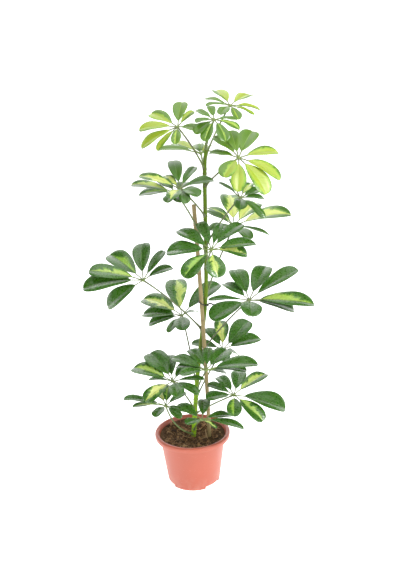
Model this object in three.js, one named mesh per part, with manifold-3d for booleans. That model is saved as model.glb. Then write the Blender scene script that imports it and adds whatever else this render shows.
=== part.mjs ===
// A variegated umbrella plant in a plastic nursery pot.
// Units are millimetres and +Z is up. The origin is the centre of the pot's underside, on the ground.
// +X is to the right and -Y is the front. Every sub-part is one closed solid in its own mesh.
import * as THREE from "three";
import { mergeVertices } from "three/addons/utils/BufferGeometryUtils.js";
import Module from "manifold-3d";

const wasm = await Module();
wasm.setup();

// ---- driving dimensions ----

const GAP = 0.3; // clearance between pieces that rest on each other
const DEGREE = Math.PI / 180;
const UP = new THREE.Vector3(0, 0, 1);
const FRONT = new THREE.Vector3(0, -1, 0);

const POT = {
  height: 134,
  baseRadius: 65.5,
  shoulderRadius: 82, // outside of the wall where the rim begins
  shoulderHeight: 121,
  wall: 2,
  rimRadius: 95,
  rimDrop: 13, // height of the skirt that hangs from the rolled rim
  lip: 10, // width of the rolled lip
  lipRound: 3,
  skirtTaper: 1, // how far the skirt draws in at its foot
  footRound: 1.5,
  sides: 32,
};
const POCKET = {
  count: 3, // raised pockets round the foot, which hold the drain holes
  firstAngle: -41,
  spread: 46,
  height: 6.5,
  innerRadius: 55,
  overlap: 2, // degrees that a pocket's walls stand past it on each side
  reachOut: 9, // how far its cut runs out past the wall
  drainRadius: 4,
  drainSides: 12,
};

const SOIL = {
  height: 119,
  lump: 1.5,
  waves: [[0.11, 2, 0], [-0.07, 3, 0], [0, 5, 90]], // turns along the radius, turns round the pot, phase
  brimRise: 7, // how much higher the soil lies at the pot's wall
  levelRadius: 35, // from here outwards it rises
  rings: [16, 32, 48, 62, 74],
  sides: 16,
};

// Centre line of the stem, from its foot in the soil to its growing tip, and its radius at each point.
const STEM_LINE = [
  [2, -2, 60, 6], [2, -2, 115, 6], [10, 0, 205, 5.7], [18, 1, 285, 5.4], [29, 0, 370, 5.2],
  [36, -1, 417, 5.1], [41, -3, 451, 5], [45, -4, 495, 4.9], [47, -2, 531, 4.8], [49, 0, 617, 4.6],
  [50, 1, 700, 4.6], [51, 1, 759, 4.5], [52, 1, 805, 4.3], [57, 0, 852, 3.4],
];
const STEM = { sides: 6, knot: 0.6, knotReach: 5, bud: [1.5, 0, 14], budRadius: 0.8 };

const CANE = {
  foot: [44, -9, 20],
  top: [24, -14, 717],
  bow: 3.5, // how far the middle stands to the right of the straight line
  radius: 4.8,
  jointEvery: 118,
  joint: 0.5, // how far a joint stands out
  jointReach: 3,
  sides: 8,
};

const TIE = {
  height: 475,
  wire: 1, // radius of the coated wire
  slack: 1.2, // room between the wire and what it holds
  lean: 0.6, // how far the loop drops for each millimetre to the right
  arcSteps: 6, // straight steps in each half turn
  elbow: [11, -3, 6], // where the twisted tail bends, from its root
  tip: [11, -1, -5], // where it ends, from that bend
  tailRadius: 1.7,
  tailSides: 6,
  ends: [4, -1, 2], // reach of the two free ends past the tip, one up and one down
  sides: 5,
};

const LEAFLET = {
  thickness: 0.9,
  stalkWidth: 2.4,
  stalkThickness: 1.5,
  stalkShare: 0.2, // stations up to this share of the length have the stalk's thickness
  widthToLength: 0.41,
  droop: 0.12, // how far the leaflets droop out of the leaf's plane, as a share of their length
  level: 0.45, // how far each blade turns from the leaf's own facing towards facing up
  arch: 0.06, // rise of the midrib's middle, as a share of the length
  fold: 0.22, // rise of the edges beside the midrib, as a share of the half width
};
// Outline of a leaflet: place along its length, and width there as a share of the full width.
const LEAFLET_OUTLINE = [[0, 0], [0.2, 0.07], [0.43, 0.76], [0.74, 1], [1, 0.36]];

const PETIOLE = {
  radii: [3.2, 2.1, 1.8, 2.4], // from the stem to the knuckle
  sides: 4,
  bow: [0.06, 0], // upward and sideways bow at mid length, as shares of the length
  knuckle: 6.5,
};

// Each leaf is laid out as it looks from a point in front of the plant and above its middle, with the
// view rolled by a few degrees.
const VIEW = { eye: [32, -1750, 1071], roll: 2 };

// A leaf leans towards the light at the front, and outwards from the stem by this share of that.
const OUTWARD_LEAN = 0.4;
// Shortest and longest leaflet that a leaf has, as shares of its usual reach.
const REACH = { least: 0.75, most: 1.15 };
// A leaflet that would touch another leaf bends towards the viewer or away, a step at a time.
const BEND = { step: 6, steps: 12, room: 0.6, sharedVolume: 40 };

// Each leaf: where its leaflets meet (hub), the height where its stalk leaves the stem (node), the tilt of
// the way it faces in degrees, and the usual reach of its leaflets. Each leaflet is given by its tip as
// it is seen from the eye: how far right of the hub, how far above it, and a width factor where it isn't
// 1. A bow of its own takes a stalk past the cane, or lets it sag.
const LEAVES = [
  {
    name: "leaf_top_left", hub: [-5, -35, 895], node: 795, tilt: 45, reach: 75,
    tips: [
      [-60, 30], [-85, -5], [-80, -45], [-45, -50, 0.7], [-5, -35], [10, 55, 1.1], [35, 35, 0.8],
      [45, -5, 1.1],
    ],
  },
  {
    name: "leaf_top_front", hub: [75, -55, 910], node: 840, tilt: 40, reach: 62,
    tips: [
      [-40, 20], [-10, 30], [-40, -5], [-40, -30, 1.2], [-20, -45, 1.1], [25, -45, 1.1], [55, -20],
      [50, 0, 0.8],
    ],
  },
  {
    name: "leaf_top_right", hub: [115, 55, 930], node: 820, tilt: 25, reach: 75,
    tips: [
      [-35, 35], [50, 25], [70, -10], [55, -20, 0.8], [-60, 15, 0.8], [-55, 0, 0.8], [-20, -20, 1.2],
      [20, -30],
    ],
  },
  {
    name: "leaf_top_back", hub: [45, 70, 820], node: 785, tilt: 25, reach: 80,
    tips: [[-100, 10, 0.7], [-70, 25, 0.8], [-20, 20], [0, 25, 0.8], [20, 20], [25, 5]],
  },
  {
    name: "leaf_upper_left_front", hub: [-5, -75, 765], node: 685, tilt: 35, reach: 85,
    tips: [
      [-15, 65, 0.8], [35, 50, 0.7], [75, 20], [40, -15, 1.2], [15, -30, 0.9], [-35, 30, 0.8],
      [-90, 30, 0.8], [-20, -20, 1.2],
    ],
  },
  {
    name: "leaf_upper_left_back", hub: [-15, -40, 750], node: 585, tilt: 30, reach: 90, bow: [0.06, 0.15],
    tips: [[-100, 20, 0.8], [-85, -5, 1.2], [-20, -20], [25, 25], [-35, 30], [10, -20], [60, 5]],
  },
  {
    name: "leaf_upper_right_front", hub: [125, -85, 830], node: 755, tilt: 45, reach: 95,
    tips: [
      [-65, 10, 0.8], [-55, 45, 0.9], [-20, 60], [30, 60, 1.1], [85, 15, 0.9], [90, -45], [60, -75, 1.1],
      [0, -70], [-30, -40, 1.3],
    ],
  },
  {
    name: "leaf_upper_right_inner", hub: [130, -20, 730], node: 615, tilt: 35, reach: 78,
    tips: [[-50, 35, 0.4], [-25, 45, 0.5], [25, 35, 0.8], [50, 20], [55, 0], [0, -25, 1.3], [55, -45, 0.9]],
  },
  {
    name: "leaf_upper_right_back", hub: [120, 65, 645], node: 490, tilt: 30, reach: 115,
    tips: [
      [-65, 45, 0.8], [-15, 80], [55, 60, 0.9], [135, 30, 1.1], [85, -20, 0.5], [35, -30], [-70, 35, 0.8],
      [-55, -10],
    ],
  },
  {
    name: "leaf_middle_front", hub: [60, -95, 630], node: 560, tilt: 40, reach: 95,
    tips: [
      [-25, 65, 0.75], [20, 60, 0.65], [70, 60, 0.75], [100, 15], [80, -10, 1.2], [15, -60, 1.5],
      [-60, -60, 1.2], [-100, -5, 1.3], [-75, 45],
    ],
  },
  {
    name: "leaf_middle_left_front", hub: [-100, -30, 545], node: 405, tilt: 45, reach: 110,
    tips: [
      [0, 90], [-80, 65], [-125, 25, 0.9], [-140, -15, 1.1], [-85, -60, 1.3], [50, 70, 0.7],
      [70, 30, 0.9],
    ],
  },
  {
    name: "leaf_middle_left_back", hub: [-15, 65, 420], node: 250, tilt: 35, reach: 110,
    tips: [
      [-15, 95, 1.1], [-100, 45, 1.1], [-100, 5, 1.2], [-85, -20, 1.1], [0, -35, 1.2], [-35, -40, 0.6],
      [95, 80], [40, 10, 0.5],
    ],
  },
  {
    name: "leaf_lower_left", hub: [-40, -85, 310], node: 190, tilt: 25, reach: 95,
    tips: [
      [-55, 70, 1.25], [-95, 35, 1.15], [-60, 5, 0.5], [-5, 65, 0.8], [40, 40], [75, 5, 0.6],
      [60, -30, 0.9], [10, -35, 1.2], [-65, -45, 1.3],
    ],
  },
  {
    name: "leaf_lower_front", hub: [40, -95, 340], node: 235, tilt: 25, reach: 90,
    tips: [
      [-40, 50], [5, 55, 0.8], [-80, 30], [-70, 10], [50, 50, 1.2], [120, 15], [95, 0, 0.8], [-60, -10],
      [50, -10],
    ],
  },
  {
    name: "leaf_lower_right_back", hub: [85, 65, 325], node: 220, tilt: 35, reach: 90,
    tips: [
      [-45, 55], [-10, 75], [65, 75, 1.2], [95, 30, 1.1], [-80, 15], [40, -15], [-50, -25], [5, -30],
    ],
  },
  {
    name: "leaf_middle_right", hub: [145, -55, 495], node: 340, tilt: 30, reach: 115, bow: [0.06, 0.1],
    tips: [
      [-35, 75], [40, 85, 0.85], [110, 75, 0.8], [150, -5], [105, -20, 1.4], [5, -35, 1.4], [-60, 40],
      [-95, 0, 0.5], [-85, -45, 1.25],
    ],
  },
  {
    name: "leaf_lower_right", hub: [105, -45, 250], node: 180, tilt: 20, reach: 100, bow: [0.06, -0.12],
    tips: [
      [-40, 45], [15, 60], [80, 55, 0.85], [125, -30, 1.25], [70, -60, 1.1], [0, -50, 1.2], [-65, 25],
      [-65, -10, 1.2],
    ],
  },
  {
    name: "leaf_base_left", hub: [-60, -80, 245], node: 125, tilt: 15, reach: 75, bow: [-0.2, 0],
    tips: [
      [-20, 50], [10, 50], [50, 30], [-100, 20, 0.6], [-80, 0, 0.6], [-25, -25, 1.2], [50, -15, 0.8],
      [35, -30],
    ],
  },
  {
    name: "leaf_base_front", hub: [25, -100, 215], node: 136, tilt: 15, reach: 65,
    tips: [[-60, 35, 1.1], [5, 50], [-35, -10, 1.5], [70, 10], [100, -20, 0.7], [35, -20, 0.5]],
  },
];

const COLOURS = {
  pot: { color: 0xb9653f, roughness: 0.5 },
  soil: { color: 0x2b211b, roughness: 1 },
  stem: { color: 0x5d6b33, roughness: 0.7 },
  cane: { color: 0xb59a68, roughness: 0.6 },
  tie: { color: 0x1c1c1c, roughness: 0.5 },
  leaf: { color: 0x3c5f27, roughness: 0.45 },
  youngLeaf: { color: 0x9bb53a, roughness: 0.45 },
};
const YOUNG_ABOVE = 750; // leaves whose stalks leave the stem here or higher are still lime green

// ---- solids ----

const vector = (point) => new THREE.Vector3(point[0], point[1], point[2]);

function solidOf(geometry) {
  const bare = geometry.clone();
  bare.deleteAttribute("normal");
  bare.deleteAttribute("uv");
  const merged = mergeVertices(bare, 1e-3);
  return new wasm.Manifold(
    new wasm.Mesh({
      numProp: 3,
      vertProperties: merged.attributes.position.array,
      triVerts: new Uint32Array(merged.index.array),
    }),
  );
}

function geometryOf(solid) {
  const mesh = solid.getMesh();
  const geometry = new THREE.BufferGeometry();
  geometry.setAttribute("position", new THREE.BufferAttribute(mesh.vertProperties, mesh.numProp));
  geometry.setIndex(new THREE.BufferAttribute(mesh.triVerts, 1));
  geometry.computeVertexNormals();
  return geometry;
}

// The biggest body of a cut solid, without the scraps that a cut can leave.
function mainBody(solid) {
  const bodies = solid.decompose();
  return bodies.reduce((best, body) => (body.volume() > best.volume() ? body : best));
}

function geometryFrom(vertices, triangles) {
  const geometry = new THREE.BufferGeometry();
  const flat = vertices.flatMap((v) => [v.x, v.y, v.z]);
  geometry.setAttribute("position", new THREE.Float32BufferAttribute(flat, 3));
  geometry.setIndex(triangles.flat());
  return geometry;
}

// A closed tube of any taper: one ring of vertices round each point of the line.
function taperedTube(points, radii, sides) {
  const vertices = [];
  const triangles = [];
  const last = points.length - 1;
  let normal = null;
  points.forEach((point, i) => {
    const along = points[Math.min(i + 1, last)].clone().sub(points[Math.max(i - 1, 0)]).normalize();
    if (!normal) normal = Math.abs(along.z) < 0.9 ? UP : new THREE.Vector3(1, 0, 0);
    normal = normal.clone().addScaledVector(along, -normal.dot(along)).normalize();
    const across = along.clone().cross(normal);
    for (let k = 0; k < sides; k++) {
      const angle = (2 * Math.PI * k) / sides;
      vertices.push(
        point
          .clone()
          .addScaledVector(normal, radii[i] * Math.cos(angle))
          .addScaledVector(across, radii[i] * Math.sin(angle)),
      );
    }
  });
  for (let i = 0; i < last; i++) {
    for (let k = 0; k < sides; k++) {
      const a = i * sides + k;
      const b = i * sides + ((k + 1) % sides);
      triangles.push([a, b, b + sides], [a, b + sides, a + sides]);
    }
  }
  const end = last * sides;
  for (let k = 1; k < sides - 1; k++) triangles.push([0, k + 1, k], [end, end + k, end + k + 1]);
  return geometryFrom(vertices, triangles);
}

// ---- pot ----

// A block over part of a ring, from radius inner to outer and from height low to high.
function ringSector(angle, spread, inner, outer, low, high) {
  const from = (angle - spread / 2) * DEGREE;
  const to = (angle + spread / 2) * DEGREE;
  const outline = new THREE.Shape();
  outline.absarc(0, 0, outer, from, to, false);
  outline.absarc(0, 0, inner, to, from, true);
  const options = { depth: high - low, bevelEnabled: false, curveSegments: 3 };
  const block = new THREE.ExtrudeGeometry(outline, options);
  block.translate(0, 0, low);
  return solidOf(block);
}

function pocketAngles() {
  return Array.from({ length: POCKET.count }, (_, i) => POCKET.firstAngle + (360 / POCKET.count) * i);
}

function lathe(profile, sides) {
  const geometry = new THREE.LatheGeometry(profile.map(([r, z]) => new THREE.Vector2(r, z)), sides);
  geometry.rotateX(Math.PI / 2);
  return solidOf(geometry);
}

function wallRadius(z) {
  return POT.baseRadius + ((POT.shoulderRadius - POT.baseRadius) * z) / POT.shoulderHeight;
}

// Radius of the pot's inside, which flares from its shoulder to its lip.
function insideRadius(z) {
  const lipFoot = POT.height - POT.lipRound;
  const flare = Math.max(0, (z - POT.shoulderHeight) / (lipFoot - POT.shoulderHeight));
  const shoulder = POT.shoulderRadius - POT.wall;
  return Math.min(wallRadius(z) - POT.wall, shoulder) + flare * (POT.rimRadius - POT.lip - shoulder);
}

function makePot() {
  const top = POT.height;
  const skirtFoot = top - POT.rimDrop;
  const lipInner = POT.rimRadius - POT.lip;
  const skirtOutside = POT.rimRadius - POT.skirtTaper;
  const inside = POT.shoulderRadius - POT.wall;
  let pot = lathe(
    [
      [0, 0],
      [POT.baseRadius - POT.footRound, 0],
      [POT.baseRadius, POT.footRound],
      [POT.shoulderRadius, POT.shoulderHeight],
      [lipInner + POT.wall, top - 2 * POT.wall],
      [lipInner + 2 * POT.wall, top - POT.wall],
      [skirtOutside - POT.wall, top - POT.wall],
      [skirtOutside - POT.wall, skirtFoot],
      [skirtOutside, skirtFoot],
      [POT.rimRadius, top - POT.lipRound],
      [POT.rimRadius - POT.lipRound, top],
      [lipInner + POT.lipRound, top],
      [lipInner, top - POT.lipRound],
      [inside, POT.shoulderHeight],
      [POT.baseRadius - POT.wall, POT.wall],
      [0, POT.wall],
    ],
    POT.sides,
  );
  const { innerRadius, height, drainRadius, drainSides } = POCKET;
  const ceiling = height + POT.wall;
  const wallInside = POT.baseRadius - POT.wall / 2;
  const drainAt = (innerRadius + wallInside) / 2;
  const walled = POCKET.spread + 2 * POCKET.overlap;
  for (const angle of pocketAngles()) {
    pot = pot.add(ringSector(angle, walled, innerRadius - POT.wall, wallInside, 0, ceiling));
    const outer = POT.baseRadius + POCKET.reachOut;
    pot = pot.subtract(ringSector(angle, POCKET.spread, innerRadius, outer, -POT.wall, height));
    const drain = new THREE.CylinderGeometry(drainRadius, drainRadius, 4 * POT.wall, drainSides);
    drain.rotateX(Math.PI / 2);
    drain.translate(drainAt * Math.cos(angle * DEGREE), drainAt * Math.sin(angle * DEGREE), height);
    pot = pot.subtract(solidOf(drain));
  }
  return pot;
}

// ---- soil ----

function soilHeight(radius, angle) {
  const waves = SOIL.waves.map(([outwards, round, phase]) =>
    Math.sin(radius * outwards + angle * round + phase * DEGREE),
  );
  const rise = SOIL.brimRise * THREE.MathUtils.smoothstep(radius, SOIL.levelRadius, POT.shoulderRadius);
  return SOIL.height + rise + (SOIL.lump * waves.reduce((sum, wave) => sum + wave)) / 2;
}

function makeSoil(stem, cane) {
  const vertices = [];
  const triangles = [];
  const edge = (z) => insideRadius(z) - GAP;
  const floor = POT.wall + GAP;
  const ring = (radius, heightAt) => {
    for (let k = 0; k < SOIL.sides; k++) {
      const angle = (2 * Math.PI * k) / SOIL.sides;
      vertices.push(new THREE.Vector3(radius * Math.cos(angle), radius * Math.sin(angle), heightAt(angle)));
    }
  };
  vertices.push(new THREE.Vector3(0, 0, SOIL.height));
  for (const radius of SOIL.rings) ring(radius, (angle) => soilHeight(radius, angle));
  const brim = SOIL.height + SOIL.brimRise;
  const shelf = POCKET.height + POT.wall + GAP;
  const flat = Math.cos(Math.PI / POT.sides);
  const footRadius = POCKET.innerRadius - POT.wall - GAP;
  ring(edge(brim) * flat, () => brim);
  ring(edge(POT.shoulderHeight) * flat, () => POT.shoulderHeight);
  ring(edge(shelf) * flat, () => shelf);
  ring(footRadius * flat, () => shelf);
  ring(footRadius * flat, () => floor);
  vertices.push(new THREE.Vector3(0, 0, floor));
  const rings = (vertices.length - 2) / SOIL.sides;
  const at = (i, k) => 1 + i * SOIL.sides + (k % SOIL.sides);
  const bottom = vertices.length - 1;
  for (let k = 0; k < SOIL.sides; k++) {
    triangles.push([0, at(0, k), at(0, k + 1)]);
    triangles.push([bottom, at(rings - 1, k + 1), at(rings - 1, k)]);
    for (let i = 0; i < rings - 1; i++) {
      triangles.push([at(i, k), at(i + 1, k), at(i + 1, k + 1)]);
      triangles.push([at(i, k), at(i + 1, k + 1), at(i, k + 1)]);
    }
  }
  return mainBody(solidOf(geometryFrom(vertices, triangles)).subtract(stem).subtract(cane));
}

// ---- stem, cane and tie ----

function stemCentre(z) {
  const above = Math.max(1, STEM_LINE.findIndex((point) => point[2] >= z));
  const [low, high] = [STEM_LINE[above - 1], STEM_LINE[above]];
  const share = (z - low[2]) / (high[2] - low[2]);
  const mix = low.map((value, i) => value + (high[i] - value) * share);
  return { point: vector(mix), radius: mix[3] };
}

// The stem swells into a low knot at each leaf scar. Grown by a margin, it also cuts the leaves' seats.
function makeStem(margin) {
  const heights = new Map(STEM_LINE.map((point) => [point[2], 0]));
  for (const leaf of LEAVES) {
    heights.set(leaf.node, STEM.knot);
    const above = leaf.node + STEM.knotReach;
    const crowded = [...heights.keys()].some((z) => z > leaf.node && z < above + STEM.knotReach);
    if (!crowded) heights.set(above, 0);
  }
  const sorted = [...heights].sort((a, b) => a[0] - b[0]);
  const points = sorted.map(([z]) => stemCentre(z).point);
  const radii = sorted.map(([z, swell]) => stemCentre(z).radius + swell + margin);
  const tip = points[points.length - 1].clone();
  points.push(tip.add(vector(STEM.bud)));
  radii.push(STEM.budRadius + margin);
  points[0].z -= margin;
  return solidOf(taperedTube(points, radii, STEM.sides));
}

function caneCentre(z) {
  const foot = vector(CANE.foot);
  const top = vector(CANE.top);
  const share = (z - foot.z) / (top.z - foot.z);
  const centre = foot.clone().lerp(top, share);
  centre.x += 4 * CANE.bow * share * (1 - share);
  return centre;
}

function makeCane(margin) {
  const [low, high] = [CANE.foot[2], CANE.top[2]];
  const heights = [[low - margin, 0]];
  for (let z = low + CANE.jointEvery / 2; z < high - CANE.jointEvery / 4; z += CANE.jointEvery) {
    heights.push([z - CANE.jointReach, 0], [z, CANE.joint], [z + CANE.jointReach, 0]);
  }
  heights.push([high, 0]);
  const points = heights.map(([z]) => caneCentre(z));
  const radii = heights.map(([, swell]) => CANE.radius + swell + margin);
  return solidOf(taperedTube(points, radii, CANE.sides));
}

// A slanting loop of wire round the stem and the cane, with its two ends twisted into a tail at the front.
function makeTie() {
  const stem = stemCentre(TIE.height);
  const cane = caneCentre(TIE.height);
  const between = cane.clone().sub(stem.point).setZ(0).normalize();
  const side = new THREE.Vector3(-between.y, between.x, 0);
  const clear = TIE.wire + TIE.slack;
  const middle = cane.clone().lerp(stem.point, 0.5);
  const route = [];
  const arc = (centre, radius, from) => {
    for (let step = 0; step <= TIE.arcSteps; step++) {
      const angle = (from + (180 / TIE.arcSteps) * step) * DEGREE;
      const out = between.clone().multiplyScalar(Math.cos(angle)).addScaledVector(side, Math.sin(angle));
      const point = centre.clone().addScaledVector(out, radius + clear);
      point.z -= TIE.lean * (point.x - middle.x);
      route.push(point);
    }
  };
  arc(cane, CANE.radius, -90);
  arc(stem.point, stem.radius, 90);
  const corners = TIE.sides;
  const vertices = [];
  const triangles = [];
  route.forEach((point, i) => {
    const next = route[(i + 1) % route.length];
    const before = route[(i + route.length - 1) % route.length];
    const along = next.clone().sub(before).normalize();
    const across = along.clone().cross(UP).normalize();
    const up = across.clone().cross(along);
    for (let k = 0; k < corners; k++) {
      const angle = (2 * Math.PI * k) / corners;
      vertices.push(
        point
          .clone()
          .addScaledVector(across, TIE.wire * Math.cos(angle))
          .addScaledVector(up, TIE.wire * Math.sin(angle)),
      );
      const a = i * corners + k;
      const b = i * corners + ((k + 1) % corners);
      const shift = ((i + 1) % route.length) * corners - i * corners;
      triangles.push([a, b + shift, b], [a, a + shift, b + shift]);
    }
  });
  let tie = solidOf(geometryFrom(vertices, triangles));
  const root = middle.clone().addScaledVector(side, stem.radius + clear);
  root.z -= TIE.lean * (root.x - middle.x);
  const elbow = root.clone().add(vector(TIE.elbow));
  const tip = elbow.clone().add(vector(TIE.tip));
  const tailRadii = [TIE.tailRadius, TIE.tailRadius, TIE.tailRadius];
  tie = tie.add(solidOf(taperedTube([root, elbow, tip], tailRadii, TIE.tailSides)));
  const [right, back, rise] = TIE.ends;
  for (const turn of [-1, 1]) {
    const end = tip.clone().add(new THREE.Vector3(right, back, turn * rise));
    const start = tip.clone().lerp(elbow, 0.2);
    tie = tie.add(solidOf(taperedTube([start, end], [TIE.wire, TIE.wire], TIE.sides)));
  }
  return mainBody(tie);
}

// ---- leaves ----

// To the right, up and away, for a viewer at the eye who looks at the leaf's hub.
function viewDirections(leaf) {
  const away = vector(leaf.hub).sub(vector(VIEW.eye)).normalize();
  const levelRight = away.clone().cross(UP).normalize();
  const levelUp = levelRight.clone().cross(away);
  const roll = VIEW.roll * DEGREE;
  const right = levelRight.clone().multiplyScalar(Math.cos(roll)).addScaledVector(levelUp, -Math.sin(roll));
  const up = levelRight.clone().multiplyScalar(Math.sin(roll)).addScaledVector(levelUp, Math.cos(roll));
  return { right, up, away };
}

// The way a leaf faces: up, with a lean towards the light and outwards from the stem.
function leafFacing(leaf) {
  const outward = vector(leaf.hub).sub(stemCentre(leaf.node).point).setZ(0).normalize();
  const lean = FRONT.clone().addScaledVector(outward, OUTWARD_LEAN).normalize();
  const tilt = leaf.tilt * DEGREE;
  return UP.clone().multiplyScalar(Math.cos(tilt)).addScaledVector(lean, Math.sin(tilt));
}

// How far behind the hub a tip lies: on the leaf's drooping plane, but within the leaf's usual reach.
function tipDepth(leaf, [right, above]) {
  const facing = leafFacing(leaf);
  const view = viewDirections(leaf);
  const seen = Math.hypot(right, above);
  const offPlane = right * view.right.dot(facing) + above * view.up.dot(facing) + LEAFLET.droop * seen;
  const depth = -offPlane / view.away.dot(facing);
  const within = (share) => Math.sqrt(Math.max(0, (share * leaf.reach) ** 2 - seen ** 2));
  return Math.sign(depth) * THREE.MathUtils.clamp(Math.abs(depth), within(REACH.least), within(REACH.most));
}

// An arched blade, folded up a little along its midrib, with its stalk sunk into the knuckle.
function makeLeaflet(leaf, [right, above, widthFactor = 1], depth, room = 0) {
  const hub = vector(leaf.hub);
  const view = viewDirections(leaf);
  const along = view.right
    .clone()
    .multiplyScalar(right)
    .addScaledVector(view.up, above)
    .addScaledVector(view.away, depth);
  const length = along.length();
  along.normalize();
  const side = leafFacing(leaf).lerp(UP, LEAFLET.level).cross(along).normalize();
  const up = along.clone().cross(side);
  const width = length * LEAFLET.widthToLength * widthFactor;
  const vertices = [];
  for (const [place, share] of LEAFLET_OUTLINE) {
    const half = Math.max((width * share) / 2, LEAFLET.stalkWidth / 2);
    const thickness = place <= LEAFLET.stalkShare ? LEAFLET.stalkThickness : LEAFLET.thickness;
    const fold = LEAFLET.fold * (half - LEAFLET.stalkWidth / 2);
    const rise = LEAFLET.arch * length * 4 * place * (1 - place);
    const centre = hub.clone().addScaledVector(along, length * place).addScaledVector(up, rise);
    for (const across of [-1, 0, 1]) {
      const point = centre.clone().addScaledVector(side, across * half);
      point.addScaledVector(up, Math.abs(across) * fold);
      for (const face of [1, -1]) {
        vertices.push(point.clone().addScaledVector(up, face * (thickness / 2 + room)));
      }
    }
  }
  const triangles = [];
  const quad = (p, q, r, s) => triangles.push([p, r, q], [p, s, r]);
  const at = (station, column, face) => (station * 3 + column) * 2 + face;
  const last = LEAFLET_OUTLINE.length - 1;
  for (let i = 0; i < last; i++) {
    for (const k of [0, 1]) {
      quad(at(i, k, 0), at(i, k + 1, 0), at(i + 1, k + 1, 0), at(i + 1, k, 0));
      quad(at(i, k, 1), at(i + 1, k, 1), at(i + 1, k + 1, 1), at(i, k + 1, 1));
    }
    quad(at(i, 0, 0), at(i + 1, 0, 0), at(i + 1, 0, 1), at(i, 0, 1));
    quad(at(i, 2, 0), at(i, 2, 1), at(i + 1, 2, 1), at(i + 1, 2, 0));
  }
  for (const k of [0, 1]) {
    quad(at(0, k, 0), at(0, k, 1), at(0, k + 1, 1), at(0, k + 1, 0));
    quad(at(last, k, 0), at(last, k + 1, 0), at(last, k + 1, 1), at(last, k, 1));
  }
  return solidOf(geometryFrom(vertices, triangles));
}

function makePetiole(leaf, room = 0) {
  const hub = vector(leaf.hub);
  const foot = stemCentre(leaf.node).point;
  const along = hub.clone().sub(foot);
  const length = along.length();
  along.normalize();
  const side = UP.clone().cross(along).normalize();
  const up = along.clone().cross(side);
  const [bowUp, bowSide] = leaf.bow ?? PETIOLE.bow;
  const middle = foot.clone().lerp(hub, 0.5);
  middle.addScaledVector(up, bowUp * length).addScaledVector(side, bowSide * length);
  const curve = new THREE.QuadraticBezierCurve3(foot, middle, hub);
  const radii = PETIOLE.radii.map((radius) => radius + room);
  return solidOf(taperedTube(curve.getPoints(radii.length - 1), radii, PETIOLE.sides));
}

// The volume that two solids share. Solids whose boxes lie apart share none.
function sharedVolume(first, second) {
  const [a, b] = [first.boundingBox(), second.boundingBox()];
  const apart = a.min.some((low, axis) => low > b.max[axis] || b.min[axis] > a.max[axis]);
  return apart ? 0 : first.intersect(second).volume();
}

// The depth of every tip. The leaves at the front are settled first, and each leaflet then bends as
// little as it needs to stay clear of all that is in place.
function settleTips(fixed) {
  const placed = fixed.map((solid) => ({ solid }));
  for (const leaf of LEAVES) placed.push({ leaf, stalk: true, solid: makePetiole(leaf, BEND.room) });
  const depths = new Map();
  const frontFirst = [...LEAVES].sort((a, b) => a.hub[1] - b.hub[1]);
  for (const leaf of frontFirst) {
    const settled = leaf.tips.map((tip) => {
      const flat = tipDepth(leaf, tip);
      for (let k = 0; k <= 2 * BEND.steps; k++) {
        const bend = Math.ceil(k / 2) * (k % 2 ? -1 : 1);
        const depth = flat + bend * BEND.step;
        const solid = makeLeaflet(leaf, tip, depth, BEND.room);
        const touches = placed.some((other) => {
          if (other.stalk && other.leaf === leaf) return false;
          const allowed = other.leaf === leaf ? BEND.sharedVolume : 0;
          return sharedVolume(solid, other.solid) > allowed;
        });
        if (touches) continue;
        placed.push({ leaf, solid });
        return depth;
      }
      throw new Error(`${leaf.name} has no room for its leaflet at ${tip}`);
    });
    depths.set(leaf.name, settled);
  }
  return depths;
}

function makeLeaf(leaf, depths, stemSeat) {
  const hub = vector(leaf.hub);
  const knuckle = new THREE.OctahedronGeometry(PETIOLE.knuckle, 0).translate(hub.x, hub.y, hub.z);
  let solid = solidOf(knuckle).add(makePetiole(leaf));
  leaf.tips.forEach((tip, i) => {
    solid = solid.add(makeLeaflet(leaf, tip, depths[i]));
  });
  return mainBody(solid.subtract(stemSeat));
}

// ---- assembly ----

const plant = new THREE.Group();

function addMesh(name, solid, look) {
  const mesh = new THREE.Mesh(geometryOf(solid), new THREE.MeshStandardMaterial(look));
  mesh.name = name;
  plant.add(mesh);
}

const stemSeat = makeStem(GAP);
const caneSeat = makeCane(GAP);
const pot = makePot();
const tie = makeTie();
addMesh("pot", pot, COLOURS.pot);
addMesh("soil", makeSoil(stemSeat, caneSeat), COLOURS.soil);
addMesh("stem", makeStem(0), COLOURS.stem);
addMesh("cane", makeCane(0), COLOURS.cane);
addMesh("tie", tie, COLOURS.tie);
const tipDepths = settleTips([stemSeat, caneSeat, pot, tie]);
for (const leaf of LEAVES) {
  const look = leaf.node >= YOUNG_ABOVE ? COLOURS.youngLeaf : COLOURS.leaf;
  addMesh(leaf.name, makeLeaf(leaf, tipDepths.get(leaf.name), stemSeat), look);
}

export default plant;
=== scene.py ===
import random
from collections import namedtuple
from math import atan2, copysign, cos, exp, hypot, pi, radians, sin, sqrt

import bmesh
import bpy
from mathutils import Matrix, Vector, noise
from mathutils.kdtree import KDTree


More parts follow.
